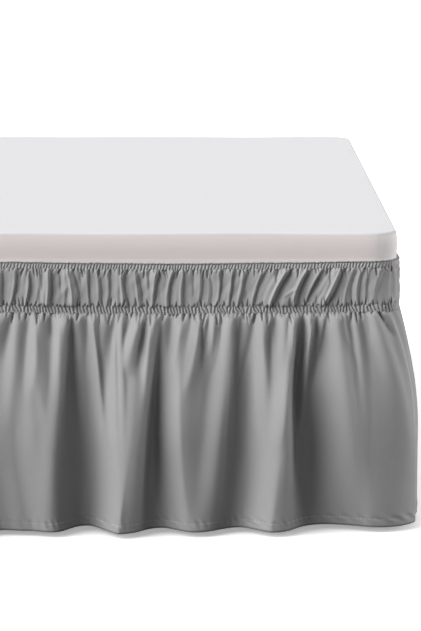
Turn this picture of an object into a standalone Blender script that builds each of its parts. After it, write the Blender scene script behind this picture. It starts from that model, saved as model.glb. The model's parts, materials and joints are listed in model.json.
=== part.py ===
# A wrap-around bed skirt on a queen mattress and its base.
# Metres, +Z up. The foot of the bed faces -Y, and the origin is on the floor under the bed's middle.
# The skirt has two narrow elastic casings that grip the mattress. Between them each side of the bed
# has a gathered header strip, and below them a gathered drop; the panels meet at the corners.

import math
import random
from collections import namedtuple

import bmesh
import bpy
import numpy as np

# Bed
BED_WIDTH = 1.52
BED_LENGTH = 2.03
CORNER_RADIUS = 0.05
CORNER_STEPS = 6
LEG_HEIGHT = 0.16
LEG_RADIUS = 0.026
LEG_TAPER = 0.8
LEG_SIDES = 20
LEG_INSET = 0.07
BASE_TOP = 0.355
BASE_INSET = 0.005
MATTRESS_TOP = 0.578
EDGE_ROUND = 0.010
GAP = 0.0003
SHARP_FROM = 50             # degrees between faces

# Skirt
CLOTH = 0.0016
HEM_HEIGHT = 0.012
DROP_LENGTH = 0.410
LOWER_CASING = 0.014
HEADER_HEIGHT = 0.071
UPPER_CASING = 0.013
CASING_DEPTH = 0.0055
CASING_ROUND = 0.001
CLEARANCE = 0.0022          # cloth to mattress, where it lies closest
SEAM_OUT = 0.040            # how far the corner seams stand out at the hem
SEAM_TURN = 0.022           # how far round on to the long sides the corner seams run
SEAM_TURNED = 0.035         # they have run so far at this depth
SEAM_REACH = 0.16           # cloth this near to a seam goes with it
SEAM_FLAT = 0.018           # and this near to it has no small folds
FLARED = 0.62               # the broad folds are full at this part of the depth
MIDDLE = 0.4                # a broad fold's middle place is at this part
FOLD_LEAST = 0.030          # least run from a crest to a dip
LEAN = 0.35                 # how far the cloth leans sideways for each metre that it stands out
LEAN_FROM = 0.35            # in full from this part of the depth
LEAN_REACH = 0.10           # and this far from a seam
LEAN_LEAST = 0.35           # share of the space between columns that leaning leaves
GATHER_TALL = 1.7           # a gather's height near the casing, as a share of its listed height
GATHER_BELLY = 0.8          # how slowly it fades at first on the way down
GATHER_WIDER = (0.8, 1.2)   # share of its listed width at the casing and where it ends
SWELL = 0.008               # how far under the casing the cloth swells out
PUFF = 0.005                # and how far it swells between gathers
CORNER_GATHERS = 0.40       # on the long sides gathers are lower this near to a corner
DROP_ROWS = (0.0, 0.07, 0.24, 0.5, 1.0)
HEADER_ROWS = (0.0, 0.5, 1.0)
HEADER_FOLD = 0.30          # height of a header fold as a share of its width
HEADER_HIGHEST = 0.0125
HEADER_EDGE = 0.12          # share of that height at the casings
HEADER_BULGE = 0.0018       # the strip as a whole, half-way down
HEADER_CREST = 0.72         # how far across a fold its crest is
HEADER_SHARE = (0.65, 1.15) # least and most share of the usual height
HEADER_PITCH = (0.018, 0.034)
CORNER_PITCH = 0.6          # share of it by a corner
HEADER_CORNER = 0.45        # share of it left where the header is stretched round a corner
CORNER_REACH = 0.12

DROP_TOP = HEM_HEIGHT + DROP_LENGTH
HEADER_BOTTOM = DROP_TOP + LOWER_CASING
HEADER_TOP = HEADER_BOTTOM + HEADER_HEIGHT

# The sides of the bed: the way each faces, the distance out, half its length, the columns of its
# drop, how far its fullest fold stands out at the hem, the share of its gathers' height by a corner
# and elsewhere, which way its seams turn, and a seed.
Side = namedtuple("Side", "name facing distance half columns fullest corner middle turn seed")
SIDES = (
    Side("foot", -90, BED_LENGTH / 2, BED_WIDTH / 2, 158, 0.109, 1.0, 1.0, 1, 11),
    Side("right", 0, BED_WIDTH / 2, BED_LENGTH / 2, 100, 0.078, 0.30, 0.75, -1, 23),
    Side("head", 90, BED_LENGTH / 2, BED_WIDTH / 2, 72, 0.108, 1.0, 1.0, 1, 37),
    Side("left", 180, BED_WIDTH / 2, BED_LENGTH / 2, 100, 0.078, 0.30, 0.75, -1, 41),
)

# How far the casings ride up, along each side: place from the side's left end, and height.
Lift = namedtuple("Lift", "place height")
LIFTS = {
    "foot": (
        Lift(0.00, 0.0070),
        Lift(0.37, 0.0012),
        Lift(0.75, 0.0040),
        Lift(0.92, 0.0018),
        Lift(1.08, 0.0006),
        Lift(1.20, 0.0013),
        Lift(1.31, 0.0026),
        Lift(1.37, 0.0040),
        Lift(1.43, 0.0056),
        Lift(1.50, 0.0085),
    ),
    "right": (Lift(0.00, 0.0085), Lift(0.30, 0.0015), Lift(1.70, 0.0015), Lift(2.01, 0.0070)),
    "head": (Lift(0.00, 0.0070), Lift(0.30, 0.0015), Lift(1.20, 0.0015), Lift(1.50, 0.0070)),
    "left": (Lift(0.00, 0.0070), Lift(0.30, 0.0015), Lift(1.70, 0.0015), Lift(2.01, 0.0070)),
}
LOWER_LIFT = 0.85           # the lower casing's share of it

# A hidden side's folds, least and most: the run from a crest to the next dip, the share of the
# side's reach that a crest and a dip stand out, and how far a fold wanders on its way down.
TURN_PITCH = (0.064, 0.090)
CREST_SHARE = (0.88, 1.0)
DIP_SHARE = (0.22, 0.50)
WANDER = 0.012
FULL_FROM = 1.0             # a side reaches its fullest folds this far from a corner
SEAM_MARGIN = 0.05          # and has no fold nearer to a seam than this

# Its small gathers, least and most.
GATHER_PITCH = (0.024, 0.036)
GATHER_HEIGHT = (0.005, 0.008)
GATHER_LEFT = (0.018, 0.034)
GATHER_RIGHT = (0.009, 0.020)
GATHER_REACHES = (0.07, 0.11, 0.17, 0.24)

# And how far the grooves of its header sway from top to bottom, and in the middle.
GROOVE_SWAY = 0.004
GROOVE_BEND = 0.003
GROOVE_LEAST = 0.006        # least width of a fold between grooves

# The drop's broad folds at the foot, each crest and dip in turn from left to right: its place
# under the casing, lower down and at the hem, and how far it stands out at the hem.
Turn = namedtuple("Turn", "top middle hem out")
FOOT_TURNS = (
    Turn(-0.680, -0.690, -0.700, 0.052),
    Turn(-0.610, -0.616, -0.622, 0.014),
    Turn(-0.535, -0.541, -0.548, 0.092),
    Turn(-0.465, -0.471, -0.478, 0.040),
    Turn(-0.395, -0.398, -0.402, 0.102),
    Turn(-0.322, -0.325, -0.328, 0.030),
    Turn(-0.241, -0.245, -0.249, 0.098),
    Turn(-0.171, -0.171, -0.171, 0.036),
    Turn(-0.100, -0.095, -0.080, 0.094),
    Turn(-0.015, -0.030, 0.009, 0.046),
    Turn(0.050, 0.025, 0.050, 0.060),
    Turn(0.102, 0.081, 0.088, 0.076),
    Turn(0.135, 0.162, 0.182, 0.016),
    Turn(0.258, 0.246, 0.215, 0.091),
    Turn(0.316, 0.303, 0.315, 0.036),
    Turn(0.349, 0.339, 0.360, 0.076),
    Turn(0.447, 0.480, 0.467, 0.032),
    Turn(0.524, 0.532, 0.512, 0.077),
    Turn(0.591, 0.587, 0.634, 0.004),
    Turn(0.647, 0.661, 0.720, 0.039),
)

# The gathers under the casing, on the foot's right half: where each starts, where it fades out,
# how far down it reaches, its height, and its width to the left and to the right.
Gather = namedtuple("Gather", "top end reach height left right")
FOOT_GATHERS = (
    Gather(0.005, -0.026, 0.105, 0.0085, 0.032, 0.028),
    Gather(0.034, 0.016, 0.229, 0.0058, 0.020, 0.029),
    Gather(0.073, 0.061, 0.177, 0.0078, 0.024, 0.032),
    Gather(0.128, 0.094, 0.403, 0.0129, 0.033, 0.024),
    Gather(0.139, 0.117, 0.121, 0.0049, 0.016, 0.012),
    Gather(0.146, 0.203, 0.450, 0.0065, 0.032, 0.028),
    Gather(0.176, 0.213, 0.438, 0.0140, 0.012, 0.019),
    Gather(0.202, 0.164, 0.190, 0.0072, 0.040, 0.028),
    Gather(0.234, 0.206, 0.444, 0.0065, 0.020, 0.013),
    Gather(0.271, 0.228, 0.118, 0.0138, 0.023, 0.027),
    Gather(0.296, 0.251, 0.450, 0.0125, 0.032, 0.025),
    Gather(0.312, 0.316, 0.439, 0.0052, 0.019, 0.021),
    Gather(0.349, 0.329, 0.262, 0.0046, 0.026, 0.036),
    Gather(0.390, 0.337, 0.186, 0.0076, 0.039, 0.025),
    Gather(0.409, 0.403, 0.094, 0.0108, 0.014, 0.024),
    Gather(0.417, 0.416, 0.135, 0.0082, 0.027, 0.016),
    Gather(0.443, 0.399, 0.449, 0.0137, 0.040, 0.028),
    Gather(0.443, 0.421, 0.436, 0.0138, 0.040, 0.029),
    Gather(0.476, 0.417, 0.321, 0.0039, 0.026, 0.019),
    Gather(0.502, 0.494, 0.407, 0.0100, 0.019, 0.022),
    Gather(0.512, 0.491, 0.119, 0.0105, 0.021, 0.020),
    Gather(0.546, 0.558, 0.441, 0.0082, 0.028, 0.017),
    Gather(0.564, 0.529, 0.258, 0.0140, 0.024, 0.025),
    Gather(0.591, 0.587, 0.353, 0.0140, 0.013, 0.023),
    Gather(0.621, 0.595, 0.131, 0.0051, 0.022, 0.010),
    Gather(0.643, 0.672, 0.403, 0.0091, 0.038, 0.026),
    Gather(0.650, 0.685, 0.366, 0.0082, 0.018, 0.020),
    Gather(0.676, 0.685, 0.450, 0.0048, 0.014, 0.017),
    Gather(0.711, 0.725, 0.327, 0.0065, 0.016, 0.013),
    Gather(0.745, 0.748, 0.200, 0.0050, 0.018, 0.012),
)

# The grooves of the header on the foot's right half: the place of each near the top, half-way
# and near the bottom, the share of the usual height that the fold to its right has, and how far
# across the fold its crest is.
GROOVE_AT = (0.15, 0.48, 0.78)
Groove = namedtuple("Groove", "high middle low share crest")
FOOT_GROOVES = (
    Groove(0.006, 0.006, 0.005, 0.80, 0.80),
    Groove(0.033, 0.031, 0.026, 0.78, 0.83),
    Groove(0.057, 0.058, 0.055, 0.94, 0.85),
    Groove(0.098, 0.098, 0.097, 0.74, 0.68),
    Groove(0.142, 0.149, 0.152, 0.83, 0.83),
    Groove(0.170, 0.170, 0.171, 0.75, 0.68),
    Groove(0.191, 0.194, 0.194, 0.63, 0.60),
    Groove(0.211, 0.212, 0.210, 1.02, 0.67),
    Groove(0.239, 0.239, 0.242, 0.69, 0.65),
    Groove(0.265, 0.270, 0.272, 0.99, 0.83),
    Groove(0.303, 0.298, 0.295, 0.87, 0.79),
    Groove(0.332, 0.326, 0.324, 0.97, 0.80),
    Groove(0.353, 0.350, 0.350, 0.41, 0.84),
    Groove(0.387, 0.388, 0.385, 0.37, 0.51),
    Groove(0.400, 0.406, 0.404, 0.90, 0.68),
    Groove(0.424, 0.423, 0.420, 0.91, 0.79),
    Groove(0.447, 0.444, 0.441, 0.90, 0.63),
    Groove(0.472, 0.467, 0.462, 0.69, 0.74),
    Groove(0.506, 0.495, 0.489, 1.04, 0.81),
    Groove(0.550, 0.536, 0.526, 1.11, 0.81),
    Groove(0.587, 0.575, 0.569, 1.08, 0.84),
    Groove(0.612, 0.599, 0.589, 1.01, 0.81),
    Groove(0.654, 0.643, 0.632, 0.57, 0.58),
    Groove(0.680, 0.673, 0.672, 1.49, 0.39),
    Groove(0.694, 0.689, 0.688, 0.93, 0.49),
    Groove(0.707, 0.703, 0.703, 1.16, 0.56),
    Groove(0.732, 0.724, 0.719, 0.68, 0.53),
)


def clear_scene():
    for old in list(bpy.data.objects):
        bpy.data.objects.remove(old, do_unlink=True)


def material(name, color, roughness):
    made = bpy.data.materials.new(name)
    made.use_nodes = True
    shader = made.node_tree.nodes["Principled BSDF"]
    shader.inputs["Base Color"].default_value = (*color, 1.0)
    shader.inputs["Roughness"].default_value = roughness
    shader.inputs["Metallic"].default_value = 0.0
    return made


def add_object(name, mesh_bm, finish):
    mesh = bpy.data.meshes.new(name)
    bmesh.ops.recalc_face_normals(mesh_bm, faces=mesh_bm.faces)
    mesh_bm.to_mesh(mesh)
    mesh_bm.free()
    mesh.shade_smooth()
    mesh.set_sharp_from_angle(angle=math.radians(SHARP_FROM))
    made = bpy.data.objects.new(name, mesh)
    made.data.materials.append(finish)
    bpy.context.scene.collection.objects.link(made)
    return made


def mix(a, b, t):
    return a + (b - a) * t


def ease(t):
    return 0.5 - 0.5 * np.cos(np.pi * np.clip(t, 0.0, 1.0))


def curve(first, middle, last, stations, t):
    """The value at t of the curve that has the three values at the three stations."""
    a, b, c = stations
    return (
        first * (t - b) * (t - c) / ((a - b) * (a - c))
        + middle * (t - a) * (t - c) / ((b - a) * (b - c))
        + last * (t - a) * (t - b) / ((c - a) * (c - b))
    )


def side_length(side):
    """Half the run of a side's cloth, from its middle to the seam half-way round the corner."""
    return side.half - CORNER_RADIUS + CORNER_RADIUS * math.pi / 4


def bed_edge(side, run, out):
    """The point `out` from the bed's vertical face, at `run` metres along it from the side's middle."""
    straight = side.half - CORNER_RADIUS
    turn = max(abs(run) - straight, 0.0) / CORNER_RADIUS
    across = min(abs(run), straight) + (CORNER_RADIUS + out) * math.sin(turn)
    away = side.distance - CORNER_RADIUS + (CORNER_RADIUS + out) * math.cos(turn)
    across = math.copysign(across, run)
    facing = math.radians(side.facing)
    return (
        away * math.cos(facing) - across * math.sin(facing),
        away * math.sin(facing) + across * math.cos(facing),
    )


def lift(side, runs):
    """How far the upper casing rides up at places along a side."""
    places, heights = zip(*LIFTS[side.name])
    return np.interp(runs + side_length(side), places, heights)


def spaced(places, least):
    """The same places in order, moved where needed so that each is at least a step from the next."""
    steps = least * np.arange(len(places))
    forward = np.maximum.accumulate(places - steps) + steps
    return np.minimum(forward, places[-1] - steps[::-1])


def hidden_turns(side, half):
    """Crests and dips in turn for a side that is hidden, fuller towards the side's middle."""
    dice = random.Random(side.seed)
    turns = []
    run = -half + dice.uniform(*TURN_PITCH)
    crest = True
    while run < half - SEAM_MARGIN:
        reach = mix(SEAM_OUT, side.fullest, min(1.0, (half - abs(run)) / FULL_FROM))
        out = reach * dice.uniform(*(CREST_SHARE if crest else DIP_SHARE))
        top = run + dice.uniform(-WANDER, WANDER)
        turns.append(Turn(top, mix(top, run, 0.5), run, out))
        run += dice.uniform(*TURN_PITCH)
        crest = not crest
    scale = side.fullest / max(turn.out for turn in turns)
    return [turn._replace(out=turn.out * scale) for turn in turns]


def hidden_gathers(start, end, seed):
    """Small gathers under the casing between two places, uneven in pitch, reach and height."""
    dice = random.Random(seed)
    gathers = []
    run = start + GATHER_PITCH[0] / 2
    while run < end - GATHER_PITCH[0] / 2:
        drift = dice.uniform(-WANDER, WANDER)
        reach = dice.choice(GATHER_REACHES)
        height = dice.uniform(*GATHER_HEIGHT)
        left = dice.uniform(*GATHER_LEFT)
        gathers.append(Gather(run, run + drift, reach, height, left, dice.uniform(*GATHER_RIGHT)))
        run += dice.uniform(*GATHER_PITCH)
    return gathers


def hidden_grooves(half, end, seed):
    """Grooves between the header's folds, from the left seam to a place, closer together by a seam."""
    dice = random.Random(seed)
    places = [-half]
    while places[-1] < end:
        tight = mix(CORNER_PITCH, 1.0, ease((half - abs(places[-1])) / CORNER_REACH))
        places.append(places[-1] + tight * dice.uniform(*HEADER_PITCH))
    stretch = (end + half) / (places[-1] + half)
    grooves = []
    for place in places[1:-1]:
        place = stretch * (place + half) - half
        sway = dice.uniform(-GROOVE_SWAY, GROOVE_SWAY)
        middle = place + dice.uniform(-GROOVE_BEND, GROOVE_BEND)
        share = dice.uniform(*HEADER_SHARE)
        grooves.append(Groove(place + sway, middle, place - sway, share, HEADER_CREST))
    return grooves


def broad_folds(turns, runs, depth):
    """How far the drop's broad folds stand off the bed at one depth, before they have grown."""
    top, middle, hem, out = np.array(turns).T
    places = spaced(curve(top, middle, hem, (0.0, MIDDLE, 1.0), depth), FOLD_LEAST)
    after = np.clip(np.searchsorted(places, runs), 1, len(places) - 1)
    before = after - 1
    across = (runs - places[before]) / (places[after] - places[before])
    return mix(out[before], out[after], ease(across))


def small_folds(gathers, runs, down):
    """How far the gathers stand off the broad folds, down metres below the casing."""
    folds = np.zeros(len(runs))
    for gather in gathers:
        part = min(down / gather.reach, 1.0)
        height = gather.height * GATHER_TALL * (1.0 - part) * (1.0 + GATHER_BELLY * part)
        away = (runs - mix(gather.top, gather.end, part)) / mix(*GATHER_WIDER, part)
        away = np.where(away < 0.0, away / gather.left, away / gather.right)
        folds = np.maximum(folds, height * ease(1.0 - np.abs(away)))
    return folds


def cloth_panel(name, side, rows, surface, finish):
    """A sheet of cloth of even thickness. surface(row) gives its inner face: places, outs, heights."""
    made = bmesh.new()
    places, outs, heights = (np.array(values) for values in zip(*(surface(row) for row in rows)))
    across = np.gradient(outs, axis=1) / np.gradient(places, axis=1)
    across[:, [0, -1]] = 0.0
    downwards = np.gradient(outs, axis=0) / np.gradient(heights, axis=0)
    level = np.sqrt(1.0 + across ** 2)
    thick = CLOTH * np.sqrt(level ** 2 + downwards ** 2) / level
    faces = (
        (places, outs, heights),
        (places - thick * across / level, outs + thick / level, heights),
    )
    last_row, last_run = len(rows) - 1, places.shape[1] - 1
    inner, outer = (
        [
            [made.verts.new((*bed_edge(side, place, out), height)) for place, out, height in zip(*row)]
            for row in zip(*face)
        ]
        for face in faces
    )
    for j in range(last_row):
        for i in range(last_run):
            made.faces.new((inner[j][i], inner[j + 1][i], inner[j + 1][i + 1], inner[j][i + 1]))
            made.faces.new((outer[j][i], outer[j][i + 1], outer[j + 1][i + 1], outer[j + 1][i]))
    for j in (0, last_row):
        for i in range(last_run):
            made.faces.new((inner[j][i], inner[j][i + 1], outer[j][i + 1], outer[j][i]))
    for i in (0, last_run):
        for j in range(last_row):
            made.faces.new((inner[j][i], outer[j][i], outer[j + 1][i], inner[j + 1][i]))
    return add_object(name, made, finish)


def make_drop(side, finish):
    half = side_length(side)
    if side.name == "foot":
        turns = list(FOOT_TURNS)
        gathers = hidden_gathers(-half, 0.0, side.seed) + list(FOOT_GATHERS)
    else:
        turns = hidden_turns(side, half)
        gathers = hidden_gathers(-half, half, side.seed + 1)
    turns = [Turn(-half, -half, -half, SEAM_OUT), *turns, Turn(half, half, half, SEAM_OUT)]

    end = half - GAP / 2
    runs = np.linspace(-end, end, side.columns + 1)
    from_seam = half - np.abs(runs)
    kept = mix(side.corner, side.middle, ease(from_seam / CORNER_GATHERS)) * ease(from_seam / SEAM_FLAT)
    with_seam = side.turn * SEAM_TURN * np.sign(runs) * ease(1.0 - from_seam / SEAM_REACH)

    def surface(depth):
        down = depth * DROP_LENGTH
        grown = math.sin(0.5 * math.pi * min(1.0, depth / FLARED))
        swelled = 1.0 - math.exp(-down / SWELL)
        outs = CLEARANCE + (broad_folds(turns, runs, depth) - CLEARANCE) * grown
        outs += swelled * kept * (PUFF + small_folds(gathers, runs, down))
        lean = LEAN * ease(depth / LEAN_FROM) * ease(from_seam / LEAN_REACH)
        places = spaced(runs + lean * (outs - outs.mean()), LEAN_LEAST * (runs[1] - runs[0]))
        places += with_seam * ease(down / SEAM_TURNED)
        heights = DROP_TOP - GAP - (DROP_LENGTH - GAP) * depth
        return places, outs, heights + (1.0 - depth) * LOWER_LIFT * lift(side, runs)

    cloth_panel("drop_" + side.name, side, DROP_ROWS, surface, finish)


def make_header(side, finish):
    half = side_length(side)
    if side.name == "foot":
        grooves = hidden_grooves(half, FOOT_GROOVES[0].high, side.seed + 2) + list(FOOT_GROOVES)
    else:
        grooves = hidden_grooves(half, half, side.seed + 2)
    end = half - GAP / 2
    first, last = (Groove(place, place, place, HEADER_SHARE[0], HEADER_CREST) for place in (-end, end))
    high, middle, low, share, crest = np.array([first, *grooves, last]).T

    def surface(row):
        grooves_at = spaced(curve(high, middle, low, GROOVE_AT, row), GROOVE_LEAST)
        widths = np.diff(grooves_at)
        places = np.empty(2 * len(widths) + 1)
        places[::2] = grooves_at
        places[1::2] = grooves_at[:-1] + crest[:-1] * widths
        folds = np.zeros(len(places))
        folds[1::2] = np.minimum(HEADER_FOLD * widths, HEADER_HIGHEST) * share[:-1]
        arch = math.sin(math.pi * row)
        stretched = mix(HEADER_CORNER, 1.0, ease((half - np.abs(places)) / CORNER_REACH))
        outs = CLEARANCE + stretched * (HEADER_BULGE * arch + folds * mix(HEADER_EDGE, 1.0, arch))
        heights = HEADER_TOP - GAP - (HEADER_HEIGHT - 2 * GAP) * row
        return places, outs, heights + mix(1.0, LOWER_LIFT, row) * lift(side, places)

    cloth_panel("header_" + side.name, side, HEADER_ROWS, surface, finish)


def outline(half_width, half_length, radius):
    """A rounded rectangle seen from above, anticlockwise."""
    points = []
    corners = ((1, -1, -90), (1, 1, 0), (-1, 1, 90), (-1, -1, 180))
    for x, y, start in corners:
        for i in range(CORNER_STEPS + 1):
            turn = math.radians(start + 90 * i / CORNER_STEPS)
            points.append((
                x * (half_width - radius) + radius * math.cos(turn),
                y * (half_length - radius) + radius * math.sin(turn),
            ))
    return points


def make_block(name, inset, bottom, top, finish):
    """A block with its upright edges rounded by the corner radius, the others by the edge round."""
    made = bmesh.new()
    rings = []
    for turn in (0, 45, 90):
        angle = math.radians(turn)
        rings.append((EDGE_ROUND * (1 - math.sin(angle)), bottom + EDGE_ROUND * (1 - math.cos(angle))))
    rings += [(shrink, bottom + top - height) for shrink, height in reversed(rings)]
    loops = []
    for shrink, height in rings:
        edge = inset + shrink
        around = outline(BED_WIDTH / 2 - edge, BED_LENGTH / 2 - edge, CORNER_RADIUS - shrink)
        loops.append([made.verts.new((x, y, height)) for x, y in around])
    for low, high in zip(loops, loops[1:]):
        for i in range(len(low)):
            j = (i + 1) % len(low)
            made.faces.new((low[i], low[j], high[j], high[i]))
    made.faces.new(reversed(loops[0]))
    made.faces.new(loops[-1])
    return add_object(name, made, finish)


def casing_runs(side):
    """Places along a side for a casing's corners, and where its lift changes."""
    half = side_length(side)
    straight = side.half - CORNER_RADIUS
    turns = np.linspace(straight, half, CORNER_STEPS // 2 + 1)
    changes = [place - half for place, _ in LIFTS[side.name] if abs(place - half) < straight]
    return np.concatenate([-turns[::-1], changes, turns[:-1]])


def make_casing(name, bottom, height, share, finish):
    """A narrow band all round the mattress, rounded a little on its outer face."""
    made = bmesh.new()
    profile = (
        (GAP, 0.0),
        (CASING_DEPTH - CASING_ROUND, 0.0),
        (CASING_DEPTH, height / 4),
        (CASING_DEPTH, height * 3 / 4),
        (CASING_DEPTH - CASING_ROUND, height),
        (GAP, height),
    )
    loops = []
    for out, rise in profile:
        loop = []
        for side in SIDES:
            runs = casing_runs(side)
            for run, up in zip(runs, share * lift(side, runs)):
                loop.append(made.verts.new((*bed_edge(side, run, out), bottom + rise + up)))
        loops.append(loop)
    for low, high in zip(loops, loops[1:] + loops[:1]):
        for i in range(len(low)):
            j = (i + 1) % len(low)
            made.faces.new((low[i], low[j], high[j], high[i]))
    return add_object(name, made, finish)


def make_leg(name, x, y, finish):
    made = bmesh.new()
    height = LEG_HEIGHT - GAP
    bmesh.ops.create_cone(
        made,
        cap_ends=True,
        segments=LEG_SIDES,
        radius1=LEG_TAPER * LEG_RADIUS,
        radius2=LEG_RADIUS,
        depth=height,
    )
    leg = add_object(name, made, finish)
    leg.location = (x, y, height / 2)
    return leg


def main():
    clear_scene()
    cloth = material("skirt_cloth", (0.235, 0.232, 0.228), 0.55)
    sheet = material("mattress_cover", (0.82, 0.80, 0.80), 0.85)
    ticking = material("base_ticking", (0.55, 0.53, 0.51), 0.9)
    wood = material("leg_wood", (0.20, 0.13, 0.08), 0.5)

    make_block("mattress", 0.0, BASE_TOP + GAP, MATTRESS_TOP, sheet)
    make_block("bed_base", BASE_INSET, LEG_HEIGHT, BASE_TOP, ticking)
    leg_x = BED_WIDTH / 2 - LEG_INSET
    leg_y = BED_LENGTH / 2 - LEG_INSET
    for end, y in (("foot", -leg_y), ("head", leg_y)):
        for hand, x in (("left", -leg_x), ("right", leg_x)):
            make_leg("leg_" + end + "_" + hand, x, y, wood)

    make_casing("casing_lower", DROP_TOP, LOWER_CASING, LOWER_LIFT, cloth)
    make_casing("casing_upper", HEADER_TOP, UPPER_CASING, 1.0, cloth)
    for side in SIDES:
        make_header(side, cloth)
        make_drop(side, cloth)


main()
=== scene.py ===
import json
import math
import random

import bmesh
import bpy
import numpy as np
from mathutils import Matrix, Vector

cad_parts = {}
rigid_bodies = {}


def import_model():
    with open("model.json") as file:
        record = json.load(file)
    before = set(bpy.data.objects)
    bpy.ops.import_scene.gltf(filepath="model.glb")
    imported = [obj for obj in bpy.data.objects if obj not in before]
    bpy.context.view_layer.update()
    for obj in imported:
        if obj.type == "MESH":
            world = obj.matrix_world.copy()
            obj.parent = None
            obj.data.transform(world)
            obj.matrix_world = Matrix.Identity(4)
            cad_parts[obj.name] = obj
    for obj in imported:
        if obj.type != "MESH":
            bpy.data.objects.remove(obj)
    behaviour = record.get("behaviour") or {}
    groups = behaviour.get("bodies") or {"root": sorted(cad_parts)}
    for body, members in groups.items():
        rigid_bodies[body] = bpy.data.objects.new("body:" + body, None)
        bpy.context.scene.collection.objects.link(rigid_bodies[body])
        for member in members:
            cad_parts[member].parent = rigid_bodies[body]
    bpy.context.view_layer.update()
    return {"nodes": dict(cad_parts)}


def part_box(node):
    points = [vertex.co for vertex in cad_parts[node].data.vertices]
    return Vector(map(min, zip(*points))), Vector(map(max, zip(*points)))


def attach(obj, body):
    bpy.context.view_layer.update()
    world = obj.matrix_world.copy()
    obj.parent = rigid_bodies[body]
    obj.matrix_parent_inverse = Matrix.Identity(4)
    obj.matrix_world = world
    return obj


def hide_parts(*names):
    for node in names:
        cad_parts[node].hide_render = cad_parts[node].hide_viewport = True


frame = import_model()
scene = bpy.context.scene

# ---- camera and light ----

view = {
    "place": (0.402, -6.569, 1.262),
    "pitch": 8.645,          # degrees below the level
    "lens": 167.2,
}
light = {
    "sky": 0.30,             # soft light from all round, above the floor's level
    "skyColor": (1.0, 0.99, 0.98),
}
# name, strength, degrees round from straight in front, degrees up, how broad in degrees
lamps = (
    ("key", 4.0, -62, 31, 50),
    ("side", 2.3, 98, 14, 40),
)
lampAway = 6.0


def aim(thing, target):
    away = np.array(target) - np.array(thing.location)
    flat = math.hypot(away[0], away[1])
    thing.rotation_euler = (math.atan2(flat, -away[2]), 0, math.atan2(-away[0], away[1]))


def makeCamera():
    eye = bpy.data.objects.new("camera", bpy.data.cameras.new("camera"))
    eye.data.sensor_width = 36.0
    eye.data.lens = view["lens"]
    eye.data.clip_end = 200.0
    eye.location = view["place"]
    eye.rotation_euler = (math.radians(90 - view["pitch"]), 0, 0)
    scene.collection.objects.link(eye)
    scene.camera = eye


def makeLights():
    for name, strength, around, up, broad in lamps:
        lamp = bpy.data.lights.new(name, "SUN")
        lamp.energy = strength
        lamp.angle = math.radians(broad)
        sun = bpy.data.objects.new(name, lamp)
        turn, rise = math.radians(around), math.radians(up)
        level = lampAway * math.cos(rise)
        sun.location = (level * math.sin(turn), -level * math.cos(turn), lampAway * math.sin(rise))
        scene.collection.objects.link(sun)
        aim(sun, (0, 0, 0))

    world = bpy.data.worlds.new("studio")
    world.use_nodes = True
    scene.world = world
    tree = world.node_tree

    def add(kind, **values):
        made = tree.nodes.new("ShaderNode" + kind)
        for key, value in values.items():
            made.inputs[key.replace("_", " ")].default_value = value
        return made

    back = tree.nodes["Background"]
    back.inputs["Color"].default_value = (*light["skyColor"], 1)
    seen = add("Background", Color=(1, 1, 1, 1), Strength=1.0)
    way, parts, path, pick = (add(kind) for kind in ("TexCoord", "SeparateXYZ", "LightPath", "MixShader"))
    above = add("MapRange", From_Min=-0.02, From_Max=0.10, To_Max=light["sky"])
    for source, target in (
        (way.outputs["Generated"], parts.inputs[0]),
        (parts.outputs["Z"], above.inputs["Value"]),
        (above.outputs[0], back.inputs["Strength"]),
        (path.outputs["Is Camera Ray"], pick.inputs[0]),
        (back.outputs[0], pick.inputs[1]),
        (seen.outputs[0], pick.inputs[2]),
        (pick.outputs[0], tree.nodes["World Output"].inputs["Surface"]),
    ):
        tree.links.new(source, target)
    scene.view_settings.view_transform = "Standard"


makeCamera()
makeLights()
print("camera and lights")

# ---- shader writing ----


class Wire:  # an output that takes part in sums
    def __init__(self, finish, socket):
        self.finish, self.socket = finish, socket

    def math(self, operation, a, b):
        return self.finish.node("ShaderNodeMath", {"operation": operation}, {0: a, 1: b})

    def under(self, operation):  # a function of this value alone
        return self.finish.node("ShaderNodeMath", {"operation": operation}, {0: self})

    def __add__(self, other):
        return self.math("ADD", self, other)

    def __sub__(self, other):
        return self.math("SUBTRACT", self, other)

    def __rsub__(self, other):
        return self.math("SUBTRACT", other, self)

    def __mul__(self, other):
        return self.math("MULTIPLY", self, other)

    def __lt__(self, other):
        return self.math("LESS_THAN", self, other)

    __radd__ = __add__
    __rmul__ = __mul__


class Finish:  # one material and the nodes in it
    def __init__(self, name):
        self.made = bpy.data.materials.new(name)
        self.made.use_nodes = True
        self.tree = self.made.node_tree
        self.shader = self.tree.nodes["Principled BSDF"]

    def plug(self, value, socket):
        if isinstance(value, Wire):
            self.tree.links.new(value.socket, socket)
        else:
            socket.default_value = value

    def node(self, kind, settings=None, sockets=None, out=0):
        made = self.tree.nodes.new(kind)
        for key, value in (settings or {}).items():
            setattr(made, key, value)
        for key, value in (sockets or {}).items():
            self.plug(value, made.inputs[key])
        return Wire(self, made.outputs[out])

    def blend(self, share, low, high):  # two colours
        return self.node("ShaderNodeMix", {"data_type": "RGBA"}, {0: share, 6: low, 7: high}, 2)

    def set(self, **sockets):
        for key, value in sockets.items():
            self.plug(value, self.shader.inputs[key.replace("_", " ")])
        return self.made


# ---- the floor ----

floor = {
    "far": 30.0,
    "color": (0.95, 0.95, 0.95, 1),
    "glow": 0.60,
    "under": (0.78, 1.06),   # painted shadow: less glow under the bed, up to here
    "least": 0.62,
    "fades": 0.17,           # and full glow again, without painted shadow, from so far off
}


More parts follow.
